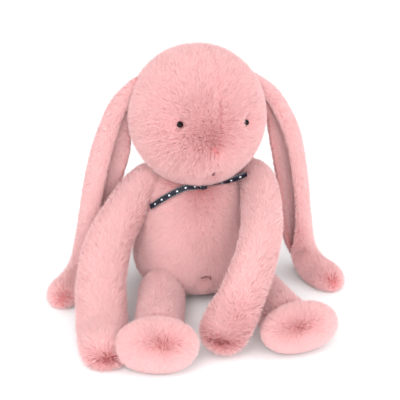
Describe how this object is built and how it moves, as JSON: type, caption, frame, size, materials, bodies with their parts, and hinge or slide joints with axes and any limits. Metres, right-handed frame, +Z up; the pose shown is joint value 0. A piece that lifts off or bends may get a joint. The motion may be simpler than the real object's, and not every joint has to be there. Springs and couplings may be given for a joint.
{
  "type": "stuffed bunny rabbit",
  "caption": "Seated long-pile plush rabbit with round head, long drooping ears, long soft arms and legs, oval feet, small dark eyes and a thin ribbon tied round its neck.",
  "frame": {"origin": "centre of the flat seat under the torso", "axes": "+Z up; the rabbit faces -Y, and its own left side is +X"},
  "size_m": [0.2865, 0.2587, 0.2429],
  "materials": {
    "plush": "dense salmon-pink plush pile about 7 mm long",
    "ear_lining": "the same plush with a shorter pile",
    "wadding": "white polyester fibre filling",
    "pellet_bag": "cotton bag of plastic pellets",
    "eye_plastic": "glossy black moulded plastic",
    "washer_plastic": "white moulded plastic",
    "thread": "brown-pink embroidery thread",
    "ribbon": "navy satin ribbon with a small pale print"
  },
  "bodies": {
    "torso": {"torso_skin": "plush", "torso_filling": "wadding", "seat_pellet_bag": "pellet_bag", "tail_skin": "plush", "tail_filling": "wadding", "navel_stitch": "thread", "ribbon_loop": "ribbon", "ribbon_knot": "ribbon", "ribbon_tail_left": "ribbon", "ribbon_tail_right": "ribbon"},
    "neck": {"neck_wad": "wadding"},
    "head": {"head_skin": "plush", "head_filling": "wadding", "nose_stitch": "thread", "eye_left": "eye_plastic", "eye_right": "eye_plastic", "eye_washer_left": "washer_plastic", "eye_washer_right": "washer_plastic"},
    "ear_left": {"ear_left_back": "plush", "ear_left_lining": "ear_lining"},
    "ear_right": {"ear_right_back": "plush", "ear_right_lining": "ear_lining"},
    "arm_left": {"arm_left_skin": "plush", "arm_left_filling": "wadding"},
    "arm_right": {"arm_right_skin": "plush", "arm_right_filling": "wadding"},
    "leg_left": {"leg_left_skin": "plush", "leg_left_filling": "wadding"},
    "leg_right": {"leg_right_skin": "plush", "leg_right_filling": "wadding"},
    "foot_left": {"foot_left_skin": "plush", "foot_left_filling": "wadding"},
    "foot_right": {"foot_right_skin": "plush", "foot_right_filling": "wadding"}
  },
  "joints": [
    {"name": "head_turn", "type": "hinge", "parent": "torso", "child": "neck", "pos_m": [0, -0.004, 0.12], "axis": [0, 0, 1], "range_deg": [-25, 12]},
    {"name": "head_nod", "type": "hinge", "parent": "neck", "child": "head", "pos_m": [0, -0.004, 0.12], "axis": [1, 0, 0], "range_deg": [-10, 8]},
    {"name": "ear_left_lift", "type": "hinge", "parent": "head", "child": "ear_left", "pos_m": [0.055, 0.006, 0.212], "axis": [0, -1, 0], "range_deg": [0, 90]},
    {"name": "ear_right_lift", "type": "hinge", "parent": "head", "child": "ear_right", "pos_m": [-0.055, 0.006, 0.212], "axis": [0, 1, 0], "range_deg": [0, 90]},
    {"name": "arm_left_raise", "type": "hinge", "parent": "torso", "child": "arm_left", "pos_m": [0.0465, 0.004, 0.112], "axis": [-1, 0, 0], "range_deg": [0, 26]},
    {"name": "arm_right_raise", "type": "hinge", "parent": "torso", "child": "arm_right", "pos_m": [-0.0465, 0.004, 0.112], "axis": [-1, 0, 0], "range_deg": [-10, 50]},
    {"name": "leg_left_raise", "type": "hinge", "parent": "torso", "child": "leg_left", "pos_m": [0.04483, -0.04979, 0.0155], "axis": [-0.9877, -0.1564, 0], "range_deg": [0, 12]},
    {"name": "leg_right_raise", "type": "hinge", "parent": "torso", "child": "leg_right", "pos_m": [-0.04483, -0.04979, 0.0155], "axis": [-0.9703, 0.2419, 0], "range_deg": [0, 40]},
    {"name": "foot_left_flex", "type": "hinge", "parent": "leg_left", "child": "foot_left", "pos_m": [0.05641, -0.12288, 0.0155], "axis": [-0.9877, -0.1564, 0], "range_deg": [-20, 20]},
    {"name": "foot_right_flex", "type": "hinge", "parent": "leg_right", "child": "foot_right", "pos_m": [-0.06273, -0.12159, 0.0155], "axis": [-0.9703, 0.2419, 0], "range_deg": [-20, 20]}
  ]
}
